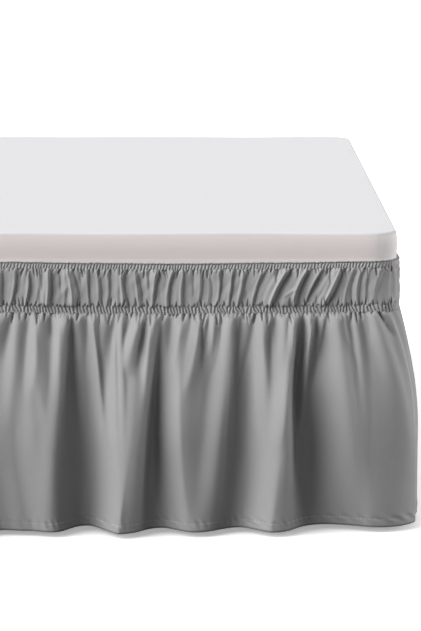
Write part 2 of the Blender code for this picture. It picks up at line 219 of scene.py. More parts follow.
def makeFloor():
    far = floor["far"]
    mesh = bpy.data.meshes.new("floor")
    mesh.from_pydata([(-far, -far, 0), (far, -far, 0), (far, far, 0), (-far, far, 0)], [], [(0, 1, 2, 3)])
    ground = bpy.data.objects.new("floor", mesh)
    scene.collection.objects.link(ground)
    finish = Finish("floorWithPaintedShadow")
    where = finish.node("ShaderNodeTexCoord", None, None, 3)
    x = finish.node("ShaderNodeSeparateXYZ", None, {0: where})
    y = Wire(finish, x.socket.node.outputs[1])
    past = []
    for value, edge in zip((x, y), floor["under"]):
        past.append(value.math("MAXIMUM", value.under("ABSOLUTE") - edge, 0.0))
    away = (past[0] * past[0] + past[1] * past[1]).under("SQRT")
    smooth = {"interpolation_type": "SMOOTHSTEP"}
    # painted shadow: the floor's glow drops towards least near and under the bed
    share = finish.node("ShaderNodeMapRange", smooth, {0: away, 2: floor["fades"]})
    glow = finish.blend(share, (*(floor["least"],) * 3, 1), (1, 1, 1, 1))
    finish.set(Emission_Color=glow, Base_Color=floor["color"])
    finish.set(Emission_Strength=floor["glow"], Roughness=0.9, Specular_IOR_Level=0.0)
    mesh.materials.append(finish.made)
    ground.visible_diffuse = False    # no light thrown back up on the skirt


makeFloor()
print("floor")

# ---- the bed's outline ----

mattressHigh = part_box("mattress")[1]
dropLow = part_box("drop_foot")[0]

skirt = {                    # from the floor up, where the casings don't ride up
    "hem": dropLow[2],
    "drop": 0.410,
    "lowerCasing": 0.014,
    "header": 0.071,
    "upperCasing": 0.013,
    "over": 0.0012,          # how far cloth reaches over the edge of a casing
}
dropTop = skirt["hem"] + skirt["drop"]
headerBottom = dropTop + skirt["lowerCasing"]
headerTop = headerBottom + skirt["header"]
skirtTop = headerTop + skirt["upperCasing"]

bed = {
    "halfWidth": mattressHigh[0],
    "halfLength": mattressHigh[1],
    "corner": 0.05,
    "clearance": 0.0022,     # cloth to mattress
    "seamOut": 0.040,        # the corner seams at the hem
}

# name, way it faces, distance out, half its length, fullest fold, seed
sides = {
    "foot": (-90, bed["halfLength"], bed["halfWidth"], 0.109, 11),
    "right": (0, bed["halfWidth"], bed["halfLength"], 0.078, 23),
    "head": (90, bed["halfLength"], bed["halfWidth"], 0.108, 37),
    "left": (180, bed["halfWidth"], bed["halfLength"], 0.078, 41),
}


def mix(a, b, t):
    return a + (b - a) * t


def ease(t):
    return 0.5 - 0.5 * np.cos(np.pi * np.clip(t, 0.0, 1.0))


def placed(places, run):  # which place is before each point of a run, the gap after it, the share passed
    before = np.clip(np.searchsorted(places, run), 1, len(places) - 1) - 1
    gap = places[before + 1] - places[before]
    return before, gap, (run - places[before]) / gap


def sideLength(name):
    return sides[name][2] - bed["corner"] + bed["corner"] * math.pi / 4


def bedEdge(name, run, out):  # the place at out metres off the bed's face, run metres along it
    facing, distance, half = sides[name][:3]
    straight = half - bed["corner"]
    turn = np.maximum(np.abs(run) - straight, 0.0) / bed["corner"]
    across = np.minimum(np.abs(run), straight) + (bed["corner"] + out) * np.sin(turn)
    away = distance - bed["corner"] + (bed["corner"] + out) * np.cos(turn)
    across = np.copysign(across, run)
    angle = math.radians(facing)
    return (
        away * math.cos(angle) - across * math.sin(angle),
        away * math.sin(angle) + across * math.cos(angle),
    )


def sheetMesh(name, x, y, z, u, v, loop=False):  # from a grid of places, with the flat cloth's as its map
    rows, columns = x.shape
    points = np.stack([x, y, z], axis=-1).reshape(-1, 3)
    at = np.arange(rows * columns).reshape(rows, columns)
    if loop:
        at = np.concatenate([at, at[:, :1]], axis=1)
    a, b, c, d = at[:-1, :-1], at[:-1, 1:], at[1:, 1:], at[1:, :-1]
    faces = np.stack([a, d, c, b], axis=-1).reshape(-1, 4)
    mesh = bpy.data.meshes.new(name)
    mesh.from_pydata(points.tolist(), [], faces.tolist())
    if loop:
        u = np.concatenate([u, u[:, :1] + (u[:, -1:] - u[:, :1]) * columns / (columns - 1)], axis=1)
        v = np.concatenate([v, v[:, :1]], axis=1)
    flat = np.stack([u, v], axis=-1)
    corners = np.stack([flat[:-1, :-1], flat[1:, :-1], flat[1:, 1:], flat[:-1, 1:]], axis=2).reshape(-1, 2)
    layer = mesh.uv_layers.new(name="cloth")
    layer.uv.foreach_set("vector", corners.astype(np.float32).ravel())
    mesh.shade_smooth()
    piece = bpy.data.objects.new(name, mesh)
    scene.collection.objects.link(piece)
    return piece


def dress(piece, finish, node):  # the piece that shows in place of a node
    piece.data.materials.append(finish)
    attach(piece, "root")
    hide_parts(node)


def waves(seed, count, u, v, long, tall):  # soft uneven waves over a sheet, about -1 to 1
    dice = random.Random(seed)
    total = np.zeros(np.broadcast(u, v).shape)
    for _ in range(count):
        total += np.sin(
            2 * np.pi * (u * dice.uniform(0.6, 1.4) / long + v * dice.uniform(-1.2, 1.2) / tall)
            + dice.uniform(0, 2 * np.pi)
        )
    return total / math.sqrt(count) * 0.8


# How far the casings ride up, along the foot: place and lift.
footLift = (
    (-0.75, 0.0050),
    (-0.38, 0.0000),
    (0.00, 0.0022),
    (0.17, 0.0000),
    (0.33, -0.0012),
    (0.56, 0.0008),
    (0.68, 0.0030),
    (0.75, 0.0040),
)
lift = {
    "corners": {"right": (0.0040, 0.0050), "head": (0.0050, 0.0050), "left": (0.0050, 0.0050)},
    "middle": 0.0005,
    "uneven": 0.0008,
    "reach": 0.25,
    "lower": 0.85,           # the lower casing's share of it
}


def liftAlong(name, run):
    if name == "foot":
        places, lifts = (np.array(column) for column in zip(*footLift))
        before, _, part = placed(places, run)
        return mix(lifts[before], lifts[before + 1], ease(part))
    half = sideLength(name)
    start, end = lift["corners"][name]
    middle = lift["middle"] + lift["uneven"] * waves(sides[name][4], 4, run, 0, 0.5, 1)
    inner = ease((half - np.abs(run)) / lift["reach"])
    return mix(np.where(run < 0, start, end), middle, inner)


# V-shaped pinches where cloth enters a casing
headerTucks = {
    "pitch": 0.0070, "deep": 0.0068, "wide": (0.0024, 0.0044), "reaches": (0.005, 0.008, 0.012, 0.018),
}
dropTucks = {
    "pitch": 0.0095, "deep": 0.0110, "wide": (0.0036, 0.0068), "reaches": (0.006, 0.009, 0.014, 0.021),
}
tuckTilt = 0.35
edgeRound = 0.0020           # how soon the cloth stands up beside a casing
edgeStart = 0.62             # and the share of that which it has at the edge
tongues = {"pitch": 0.0088, "long": 0.0038, "fades": 0.007}    # the cloth's uneven edge on the casings


def besideCasing(near):
    return 1 - (1 - edgeStart) * np.exp(-near / edgeRound)


def tongueRise(run, near, seed):
    swing = 1.4 * waves(seed, 7, run, 0, 0.045, 1)
    tongue = np.abs(np.sin(np.pi * run / tongues["pitch"] + swing)) - 0.5
    return tongues["long"] * tongue * np.exp(-near / tongues["fades"])


def tucks(what, run, near, seed):  # near: how far from the casing each row is
    dice = random.Random(seed)
    deep = np.zeros((len(near), len(run)))
    place = run[0]
    while place < run[-1]:
        place += what["pitch"] * dice.uniform(0.6, 1.5)
        reach = dice.choice(what["reaches"])
        tilt = dice.uniform(-tuckTilt, tuckTilt)
        wide = dice.uniform(*what["wide"])
        most = what["deep"] * dice.uniform(0.6, 1.3)
        a, b = np.searchsorted(run, (place - 0.03, place + 0.03))
        part = np.clip(1 - near / reach, 0, 1)
        away = np.abs(run[None, a:b] - place - tilt * near) / (wide * (0.35 + 0.65 * part))
        pinch = 0.5 + 0.5 * np.cos(np.pi * np.minimum(away, 1))
        deep[:, a:b] = np.maximum(deep[:, a:b], most * np.sqrt(part) * pinch)
    return deep * besideCasing(near)


clothFullness = 1.6          # how far the weave and the stitches are spread for each metre of a run
cutFullness = 1.45           # flat cloth cut for each metre of a run
seamEnd = 0.0002             # cloth left free at either end of a run

# ---- the drop ----

drop = {
    "top": dropTop + skirt["over"],
    "length": skirt["drop"] + skirt["over"],
    "flared": 0.62,          # the broad folds are full at this share of the depth
    "gatherTall": 1.7,
    "gatherSwell": 0.006,    # how far under the casing a gather is full
    "middle": 0.4,           # the share of the depth where a broad fold's middle place is
    "leastFold": 0.030,      # from a crest to a dip
    "lean": 0.35,            # sideways lean of the broad folds, for each metre they stand out
    "leastStep": 0.35,       # share of the space between columns that leaning leaves
    "puff": 0.0072,          # how far the cloth swells as it leaves the casing
    "hem": 0.015,
    "soft": (0.0012, 0.0065),    # how far folds are rounded off, under the casing and at the hem
    "cornerGathers": 0.30,   # share of a gather's height that is left next to a corner, on the long sides
    "sideGathers": 0.75,     # and elsewhere on them
    "cornerReach": 0.40,
    "seamTurn": 0.036,       # how far round the corner the seams run below the casing
    "seamTurned": 0.10,
    "seamRidge": 0.0013,
    "seamRidgeWide": 0.0022,
    "seamFlat": 0.018,       # cloth this near to a seam has no small folds
    "seamReach": 0.16,       # and this near to it goes round with it
    "leanFrom": 0.35,        # the lean is full from this share of the depth
    "leanReach": 0.10,       # and this far from a seam
    "rowsCloser": 0.11,      # how much closer the rows are at both ends
    "ripple": 0.0012,
    "pucker": 0.0013,        # small slanting puckers along the hem's stitches
    "puckerWide": 0.007,
    "stitchSunk": 0.0007,
    "stitchSunkWide": 0.0016,
    "hemRound": 0.0012,      # how round the hem's fold is
    "columnSize": (0.0017, 0.0042),    # at the foot and elsewhere
    "rows": 96,
}
hidden = {
    "turnPitch": (0.064, 0.090),
    "crestShare": (0.88, 1.0),
    "dipShare": (0.22, 0.50),
    "wander": 0.012,
    "fullFrom": 1.0,
    "seamMargin": 0.05,
    "gatherPitch": (0.024, 0.036),
    "gatherHeight": (0.005, 0.008),
    "gatherLeft": (0.018, 0.034),
    "gatherRight": (0.009, 0.020),
    "gatherReaches": (0.07, 0.11, 0.17, 0.24),
}

# A least-squares fitting program wrote the tables footTurns, footGathers, footGrooves and footForks.
# Three rows of footTurns and two of footGrooves were changed or added.

# The foot's broad folds, each crest and dip in turn: its place under the casing, lower down and at the hem,
# and how far it stands out.
footTurns = (
    (-0.680, -0.690, -0.700, 0.052),
    (-0.610, -0.616, -0.622, 0.014),
    (-0.535, -0.541, -0.548, 0.092),
    (-0.465, -0.471, -0.478, 0.040),
    (-0.395, -0.398, -0.402, 0.102),
    (-0.322, -0.325, -0.328, 0.030),
    (-0.241, -0.245, -0.249, 0.098),
    (-0.171, -0.171, -0.171, 0.036),
    (-0.100, -0.095, -0.080, 0.094),
    (-0.015, -0.030, 0.009, 0.056),
    (0.050, 0.025, 0.050, 0.063),
    (0.102, 0.081, 0.088, 0.076),
    (0.135, 0.162, 0.182, 0.016),
    (0.258, 0.246, 0.215, 0.091),
    (0.316, 0.303, 0.315, 0.036),
    (0.349, 0.339, 0.360, 0.076),
    (0.447, 0.480, 0.467, 0.032),
    (0.524, 0.532, 0.512, 0.077),
    (0.591, 0.587, 0.634, 0.004),
    (0.647, 0.661, 0.720, 0.039),
)

# The gathers on the foot's right half: start, end, reach down, height, width to the left and to the right.
footGathers = (
    (0.005, -0.026, 0.105, 0.0085, 0.032, 0.028),
    (0.034, 0.016, 0.229, 0.0058, 0.020, 0.029),
    (0.073, 0.061, 0.177, 0.0078, 0.024, 0.032),
    (0.128, 0.094, 0.403, 0.0129, 0.033, 0.024),
    (0.139, 0.117, 0.121, 0.0049, 0.016, 0.012),
    (0.146, 0.203, 0.450, 0.0065, 0.032, 0.028),
    (0.176, 0.213, 0.438, 0.0140, 0.012, 0.019),
    (0.202, 0.164, 0.190, 0.0072, 0.040, 0.028),
    (0.234, 0.206, 0.444, 0.0065, 0.020, 0.013),
    (0.271, 0.228, 0.118, 0.0138, 0.023, 0.027),
    (0.296, 0.251, 0.450, 0.0125, 0.032, 0.025),
    (0.312, 0.316, 0.439, 0.0052, 0.019, 0.021),
    (0.349, 0.329, 0.262, 0.0046, 0.026, 0.036),
    (0.390, 0.337, 0.186, 0.0076, 0.039, 0.025),
    (0.409, 0.403, 0.094, 0.0108, 0.014, 0.024),
    (0.417, 0.416, 0.135, 0.0082, 0.027, 0.016),
    (0.443, 0.399, 0.449, 0.0137, 0.040, 0.028),
    (0.443, 0.421, 0.436, 0.0138, 0.040, 0.029),
    (0.476, 0.417, 0.321, 0.0039, 0.026, 0.019),
    (0.502, 0.494, 0.407, 0.0100, 0.019, 0.022),
    (0.512, 0.491, 0.119, 0.0105, 0.021, 0.020),
    (0.546, 0.558, 0.441, 0.0082, 0.028, 0.017),
    (0.564, 0.529, 0.258, 0.0140, 0.024, 0.025),
    (0.591, 0.587, 0.353, 0.0140, 0.013, 0.023),
    (0.621, 0.595, 0.131, 0.0051, 0.022, 0.010),
    (0.643, 0.672, 0.403, 0.0091, 0.038, 0.026),
    (0.650, 0.685, 0.366, 0.0082, 0.018, 0.020),
    (0.676, 0.685, 0.450, 0.0048, 0.014, 0.017),
    (0.711, 0.725, 0.327, 0.0065, 0.016, 0.013),
    (0.745, 0.748, 0.200, 0.0050, 0.018, 0.012),
)

# The foot's sharper ridges and creases: start, middle and end, from and to how far down, height and width.
footCreases = (
    (0.066, 0.070, 0.055, 0.020, 0.170, 0.0034, 0.0080),
    (0.112, 0.113, 0.111, 0.006, 0.160, 0.0034, 0.0080),
    (0.219, 0.221, 0.228, 0.012, 0.340, 0.0051, 0.0045),
    (0.288, 0.281, 0.278, 0.016, 0.185, 0.0044, 0.0060),
    (0.350, 0.332, 0.322, 0.008, 0.160, 0.0034, 0.0080),
    (0.380, 0.370, 0.342, 0.012, 0.170, 0.0031, 0.0070),
    (0.492, 0.488, 0.499, 0.006, 0.260, 0.0037, 0.0070),
    (0.562, 0.559, 0.558, 0.010, 0.260, 0.0044, 0.0045),
    (0.600, 0.590, 0.580, 0.004, 0.125, 0.0041, 0.0045),
    (0.703, 0.709, 0.711, 0.016, 0.215, 0.0037, 0.0090),
    (0.060, 0.076, 0.056, 0.120, 0.330, -0.0020, 0.0120),
    (0.096, 0.099, 0.101, 0.004, 0.060, -0.0048, 0.0050),
    (0.137, 0.134, 0.132, 0.002, 0.085, -0.0045, 0.0055),
    (0.274, 0.270, 0.263, 0.004, 0.100, -0.0054, 0.0050),
    (0.387, 0.386, 0.385, 0.002, 0.105, -0.0054, 0.0045),
    (0.450, 0.450, 0.449, 0.002, 0.070, -0.0061, 0.0045),
    (0.513, 0.515, 0.517, 0.008, 0.110, -0.0045, 0.0060),
    (0.655, 0.657, 0.675, 0.002, 0.100, -0.0051, 0.0050),
    (0.725, 0.728, 0.733, 0.004, 0.065, -0.0051, 0.0050),
)


def creased(place, down):
    total = 0 * place
    for start, middle, end, first, last, height, width in footCreases:
        t = np.clip((down - first) / (last - first), 0, 1)
        away = (place - bent(start, middle, end, 0.5, t)) / (width * (0.7 + 0.6 * t))
        total += height * np.exp(-away ** 2) * ease(t / 0.2) * ease((1 - t) / 0.6)
    return total


def hiddenTurns(name, half):
    fullest, seed = sides[name][3:]
    dice = random.Random(seed)
    turns = []
    run = -half + dice.uniform(*hidden["turnPitch"])
    crest = True
    while run < half - hidden["seamMargin"]:
        reach = mix(bed["seamOut"], fullest, min(1.0, (half - abs(run)) / hidden["fullFrom"]))
        out = reach * dice.uniform(*hidden["crestShare" if crest else "dipShare"])
        top = run + dice.uniform(-hidden["wander"], hidden["wander"])
        turns.append((top, 0.5 * (top + run), run, out))
        run += dice.uniform(*hidden["turnPitch"])
        crest = not crest
    scale = fullest / max(turn[3] for turn in turns)
    return [(top, middle, hem, out * scale) for top, middle, hem, out in turns]


def hiddenGathers(start, end, seed):
    dice = random.Random(seed)
    gathers = []
    run = start + 0.5 * hidden["gatherPitch"][0]
    while run < end - 0.5 * hidden["gatherPitch"][0]:
        drift = dice.uniform(-hidden["wander"], hidden["wander"])
        reach = dice.choice(hidden["gatherReaches"])
        height = dice.uniform(*hidden["gatherHeight"])
        left, right = (dice.uniform(*hidden[key]) for key in ("gatherLeft", "gatherRight"))
        gathers.append((run, run + drift, reach, height, left, right))
        run += dice.uniform(*hidden["gatherPitch"])
    return gathers


def bent(first, middle, last, at, t):  # the curve through three places, the middle one at this share of it
    return (
        first * (t - at) * (t - 1) / at
        + middle * t * (t - 1) / (at * (at - 1))
        + last * t * (t - at) / (1 - at)
    )


def spaced(places, least):  # in order, each moved to be at least a step from the next
    steps = least * np.arange(len(places))
    forward = np.maximum.accumulate(places - steps) + steps
    return np.minimum(forward, places[-1] - steps[::-1])


def broadFolds(turns, run, depth):  # run along a row, depth of the rows
    out = np.empty((len(depth), len(run)))
    top, middle, hem, far = (np.array(column) for column in zip(*turns))
    for j, down in enumerate(depth):
        places = spaced(bent(top, middle, hem, drop["middle"], down), drop["leastFold"])
        before, _, part = placed(places, run)
        out[j] = mix(far[before], far[before + 1], ease(part))
    return out


def soften(out, sizes, step):  # each row rounded off along its run, over a width that grows down the sheet
    soft = np.empty_like(out)
    for j, row in enumerate(out):
        size = mix(*sizes, j / (len(out) - 1)) / step
        reach = int(3 * size) + 1
        share = np.exp(-0.5 * (np.arange(-reach, reach + 1) / size) ** 2)
        soft[j] = np.convolve(np.pad(row, reach, mode="edge"), share / share.sum(), mode="valid")
    return soft


def makeDrop(name, finish):
    half = sideLength(name)
    seed = sides[name][4]
    if name == "foot":
        turns = footTurns
        gathers = hiddenGathers(-half, 0.0, seed) + list(footGathers)
    else:
        turns = hiddenTurns(name, half)
        gathers = hiddenGathers(-half, half, seed + 1)
    turns = [(-half,) * 3 + (bed["seamOut"],), *turns, (half,) * 3 + (bed["seamOut"],)]

    columns = int(2 * half / drop["columnSize"][name != "foot"])
    run = np.linspace(-half + seamEnd, half - seamEnd, columns)
    inner = half - np.abs(run)                # how far from the nearer seam
    t = np.linspace(0, 1, drop["rows"])
    depth = t - drop["rowsCloser"] * np.sin(2 * np.pi * t)
    down = depth[:, None] * drop["length"]

    grown = np.sin(0.5 * np.pi * np.minimum(1.0, depth / drop["flared"]))
    out = bed["clearance"] + (broadFolds(turns, run, depth) - bed["clearance"]) * grown[:, None]
    folds = 0 * out
    for top, end, reach, height, left, right in gathers:
        part = np.minimum(down / reach, 1.0)
        tall = height * drop["gatherTall"] * (1 - part) * (1 + 0.8 * part)
        tall = tall * (1 - np.exp(-down / drop["gatherSwell"]))
        away = (run[None, :] - mix(top, end, part)) / (0.8 + 0.4 * part)
        away = np.minimum(np.where(away < 0, -away / left, away / right), 1.0)
        folds = np.maximum(folds, tall * (0.5 + 0.5 * np.cos(np.pi * away)))
    folds = soften(folds, drop["soft"], run[1] - run[0])

    folds += drop["puff"] * besideCasing(down) - tucks(dropTucks, run, down, seed + 5)
    folds += drop["ripple"] * waves(seed + 6, 5, run[None, :], down, 0.09, 0.30) * ease(depth / 0.4)[:, None]
    folds *= ease(inner / drop["seamFlat"])
    if name in ("right", "left"):
        folds *= mix(drop["cornerGathers"], drop["sideGathers"], ease(inner / drop["cornerReach"]))
    out = np.maximum(out + folds, bed["clearance"])
    lean = drop["lean"] * ease(depth / drop["leanFrom"])[:, None] * ease(inner / drop["leanReach"])[None, :]
    place = run[None, :] + lean * (out - out.mean(axis=1, keepdims=True))
    place = np.array([spaced(row, drop["leastStep"] * (run[1] - run[0])) for row in place])
    if name == "foot":
        out += creased(place, down)
    out += drop["seamRidge"] * np.exp(-(inner / drop["seamRidgeWide"]) ** 2) * ease(depth / 0.02)[:, None]
    # below the casing the corner seams run round on to the long sides
    onward = 1 if name in ("foot", "head") else -1
    turned = drop["seamTurn"] * onward * (1 - np.exp(-down / drop["seamTurned"]))
    place = place + turned * np.sign(run) * ease(1 - inner / drop["seamReach"])
    height = drop["top"] - down + lift["lower"] * liftAlong(name, run)[None, :] * (1 - depth[:, None])
    height = height + tongueRise(run[None, :], down, seed + 8)

    up = drop["length"] - down
    pucker = np.exp(-((up - drop["hem"]) / drop["puckerWide"]) ** 2)
    slant = 2 * np.pi * (run[None, :] / 0.016 + up / 0.028) + 2 * waves(seed + 7, 3, run[None, :], 0, 0.12, 1)
    out += drop["pucker"] * pucker * np.sin(slant)
    out -= drop["stitchSunk"] * np.exp(-((up - drop["hem"]) / drop["stitchSunkWide"]) ** 2)

    x, y = bedEdge(name, place, out)
    # the hem turns under
    turnIn, turnUp = [], []
    for angle in (60, 120, 180):
        turnIn.append(drop["hemRound"] * (1 - math.cos(math.radians(angle))))
        turnUp.append(-drop["hemRound"] * math.sin(math.radians(angle)))
    turnIn += [2 * drop["hemRound"]] * 2
    turnUp += [0.007, drop["hem"]]
    extraX, extraY = [], []
    for inward in turnIn:
        moreX, moreY = bedEdge(name, place[-1], out[-1] - inward)
        extraX.append(moreX)
        extraY.append(moreY)
    x = np.vstack([x, extraX])
    y = np.vstack([y, extraY])
    height = np.vstack([height] + [height[-1] + rise for rise in turnUp])
    v = np.vstack([up + 0 * out] + [0 * out[-1] - 0.003 * (i + 1) for i in range(len(turnIn))])
    u = np.vstack([run[None, :] * clothFullness + 0 * out] + [run * clothFullness] * len(turnIn))
    piece = sheetMesh("dropCloth_" + name, x, y, height, u, v)
    dress(piece, finish, "drop_" + name)
    cut = 2 * half * cutFullness
    drop["length"] + drop["hem"]
    return piece


# ---- the header strip ----

header = {
    "top": headerTop + skirt["over"],
    "height": skirt["header"] + 2 * skirt["over"],
    "bulge": 0.0018,         # the strip as a whole, half-way down
    "fold": 0.19,            # a fold's height as a share of its width
    "leastFold": 0.006,
    "highest": 0.0125,
    "crest": 0.72,           # how far across a fold its crest is
    "fall": 0.62,            # how narrow its steep side is
    "riseCurve": 1.3,
    "ridge": 0.50,           # a sharper ridge along each crest, and where
    "ridgeWidth": 0.0024,
    "ridgeBefore": 0.07,
    "fine": 0.05,            # small creases along a fold, as a share of its height
    "finePitch": 0.0125,
    "share": (0.65, 1.15),
    "sway": 0.004,
    "bend": 0.003,
    "swell": 0.30,
    "cornerShare": 0.45,
    "cornerReach": 0.12,
    "pitch": (0.018, 0.034),
    "cornerPitch": 0.6,
    "puff": 0.0052,          # by the casings
    "puffReach": 0.016,
    "columnSize": (0.0013, 0.0032),    # at the foot and elsewhere
    "rows": 40,
}
measuredAt = (0.15, 0.48, 0.78)    # how far down the strip the three places of a groove are
forkWide = 0.0055
slantCrease = {"start": (0.541, 0.054), "end": (0.568, 0.036), "tall": 0.0022, "wide": 0.0028}    # run, down

# The grooves between the foot's header folds, on its right half: place high up, half-way and low down.
# The fold to a groove's right: its height as a share of the usual, and how far across it its crest is.
footGrooves = (
    (0.006, 0.006, 0.005, 0.80, 0.80),
    (0.033, 0.031, 0.026, 0.78, 0.83),
    (0.057, 0.058, 0.055, 0.94, 0.85),
    (0.098, 0.098, 0.097, 0.74, 0.68),
    (0.142, 0.149, 0.152, 0.83, 0.83),
    (0.170, 0.170, 0.171, 0.75, 0.68),
    (0.191, 0.194, 0.194, 0.63, 0.60),
    (0.211, 0.212, 0.210, 1.02, 0.67),
    (0.239, 0.239, 0.242, 0.69, 0.65),
    (0.265, 0.270, 0.272, 0.99, 0.83),
    (0.303, 0.298, 0.295, 0.87, 0.79),
    (0.332, 0.326, 0.324, 0.97, 0.80),
    (0.353, 0.350, 0.350, 0.41, 0.84),
    (0.387, 0.388, 0.385, 0.37, 0.51),
    (0.400, 0.406, 0.404, 0.90, 0.68),
    (0.424, 0.423, 0.420, 0.91, 0.79),
    (0.447, 0.444, 0.441, 0.90, 0.63),
    (0.472, 0.467, 0.462, 0.69, 0.74),
    (0.506, 0.495, 0.489, 1.04, 0.81),
    (0.550, 0.536, 0.526, 1.11, 0.81),
    (0.587, 0.575, 0.569, 1.08, 0.84),
    (0.612, 0.599, 0.589, 1.01, 0.81),
    (0.654, 0.643, 0.632, 0.57, 0.58),
    (0.680, 0.673, 0.672, 1.49, 0.39),
    (0.694, 0.689, 0.688, 0.93, 0.49),
    (0.707, 0.703, 0.703, 1.16, 0.56),
    (0.732, 0.724, 0.719, 0.68, 0.53),
)

# Short forks that open at one edge of the strip: place, edge (0 upper, 1 lower), reach as a share, how deep.
footForks = (
    (0.039, 0, 0.45, 0.91),
    (0.081, 0, 0.69, 0.65),
    (0.116, 0, 0.65, 0.95),
    (0.154, 0, 0.61, 0.95),
    (0.285, 0, 0.54, 0.95),
    (0.370, 0, 0.75, 0.93),
    (0.529, 0, 0.39, 0.86),
    (0.632, 0, 0.42, 0.95),
    (0.076, 1, 0.57, 0.68),
    (0.128, 1, 0.51, 0.60),
    (0.230, 1, 0.66, 0.52),
    (0.305, 1, 0.70, 0.37),
    (0.470, 1, 0.71, 0.73),
    (0.555, 1, 0.29, 0.91),
    (0.606, 1, 0.33, 0.95),
)


def hiddenGrooves(half, end, seed):  # from the left seam to a place, closer together by a seam
    dice = random.Random(seed)
    places = [-half]
    while places[-1] < end:
        tight = mix(header["cornerPitch"], 1.0, ease((half - abs(places[-1])) / header["cornerReach"]))
        places.append(places[-1] + tight * dice.uniform(*header["pitch"]))
    stretch = (end + half) / (places[-1] + half)
    grooves = []
    for place in places[1:-1]:
        place = stretch * (place + half) - half
        sway = dice.uniform(-header["sway"], header["sway"])
        middle = place + dice.uniform(-header["bend"], header["bend"])
        grooves.append((place + sway, middle, place - sway, dice.uniform(*header["share"]), header["crest"]))
    return grooves


def hiddenForks(start, end, seed):
    dice = random.Random(seed)
    forks = []
    place = start + 0.02
    while place < end - 0.02:
        forks.append((place, dice.choice((0, 1)), dice.uniform(0.35, 0.65), dice.uniform(0.5, 0.95)))
        place += dice.uniform(0.035, 0.075)
    return forks


def makeHeader(name, finish):
    half = sideLength(name)
    seed = sides[name][4] + 2
    if name == "foot":
        grooves = hiddenGrooves(half, footGrooves[0][0], seed) + list(footGrooves)
        forks = hiddenForks(-half, 0.0, seed + 1) + list(footForks)
    else:
        grooves = hiddenGrooves(half, half, seed)
        forks = hiddenForks(-half, half, seed + 1)
    end = (0.7, header["crest"])
    grooves = [(-half,) * 3 + end, *grooves, (half,) * 3 + end]
    high, middle, low, share, crests = (np.array(column) for column in zip(*grooves))

    columns = int(2 * half / header["columnSize"][name != "foot"])
    run = np.linspace(-half + seamEnd, half - seamEnd, columns)
    depth = np.linspace(0, 1, header["rows"])
    down = depth[:, None] * header["height"]
    corner = mix(header["cornerShare"], 1.0, ease((half - np.abs(run)) / header["cornerReach"]))
    dice = random.Random(seed + 3)
    phase = np.array([dice.uniform(0, 1) for _ in grooves])
    count = np.maximum(1, np.round(np.diff(middle, append=half) / header["finePitch"]))

    out = np.empty((header["rows"], columns))
    a, b, c = measuredAt
    for j, t in enumerate(depth):
        at = (
            high * (t - b) * (t - c) / ((a - b) * (a - c))
            + middle * (t - a) * (t - c) / ((b - a) * (b - c))
            + low * (t - a) * (t - b) / ((c - a) * (c - b))
        )
        before, width, part = placed(spaced(at, header["leastFold"]), run)
        part = np.clip(part, 0, 1)
        crest = 1 - header["fall"] * (1 - crests[before])
        rise = np.sin(0.5 * np.pi * np.minimum(part / crest, 1)) ** header["riseCurve"]
        fall = np.cos(0.5 * np.pi * np.maximum((part - crest) / (1 - crest), 0)) ** 0.8
        arch = np.where(part < crest, rise, fall)
        ridge = np.exp(-((part - crest + header["ridgeBefore"]) * width / header["ridgeWidth"]) ** 2)
        tall = np.minimum(header["fold"] * width, header["highest"]) * share[before]
        swell = (4 * t * (1 - t)) ** header["swell"]
        turn = 2 * np.pi * (part * count[before] + phase[before] + 0.4 * t)
        fine = header["fine"] * np.sin(np.pi * part) * np.sin(turn)
        arch += header["ridge"] * ridge + fine
        out[j] = header["bulge"] * math.sin(math.pi * t) + tall * arch * (0.12 + 0.88 * swell)
    out *= corner[None, :]

    for place, edge, reach, deep in forks:
        near = depth[:, None] if edge == 0 else 1 - depth[:, None]
        fade = np.clip(1 - near / reach, 0, 1) ** 0.8
        away = np.abs(run[None, :] - place) / (forkWide * (0.35 + 0.65 * (1 - near / reach).clip(0, 1)))
        out *= 1 - deep * fade * np.exp(-away ** 2)

    for edge, near in enumerate((down, header["height"] - down)):
        out += header["puff"] * besideCasing(near) * np.exp(-near / header["puffReach"])
        out -= tucks(headerTucks, run, near, seed + 8 + edge)
    out += 0.0005 * waves(seed + 12, 5, run[None, :], down, 0.022, 0.03)
    if name == "foot":       # a slanting crease over one wide fold
        start = np.array(slantCrease["start"])
        along = np.array(slantCrease["end"]) - start
        long = np.hypot(*along)
        along = along / long
        du, dv = run[None, :] - start[0], down - start[1]
        t = (du * along[0] + dv * along[1]) / long
        away = np.abs(du * along[1] - dv * along[0])
        ridge = slantCrease["tall"] * np.exp(-(away / slantCrease["wide"]) ** 2)
        out += ridge * np.clip(4 * t * (1 - t), 0, 1) ** 0.5

    out = bed["clearance"] + np.maximum(out, 0)
    x, y = bedEdge(name, run[None, :] + 0 * out, out)
    z = header["top"] - down + liftAlong(name, run)[None, :] * mix(1, lift["lower"], depth)[:, None]
    z = z + 0.6 * tongueRise(run[None, :], down, seed + 20)
    z -= 0.8 * tongueRise(run[None, :], header["height"] - down, seed + 21)
    u = run[None, :] * clothFullness + 0 * out
    v = header["height"] - down + 0 * out
    piece = sheetMesh("headerCloth_" + name, x, y, z, u, v)
    dress(piece, finish, "header_" + name)
    cut = (2 * half * cutFullness, header["height"])
    return piece


# ---- the elastic casings ----

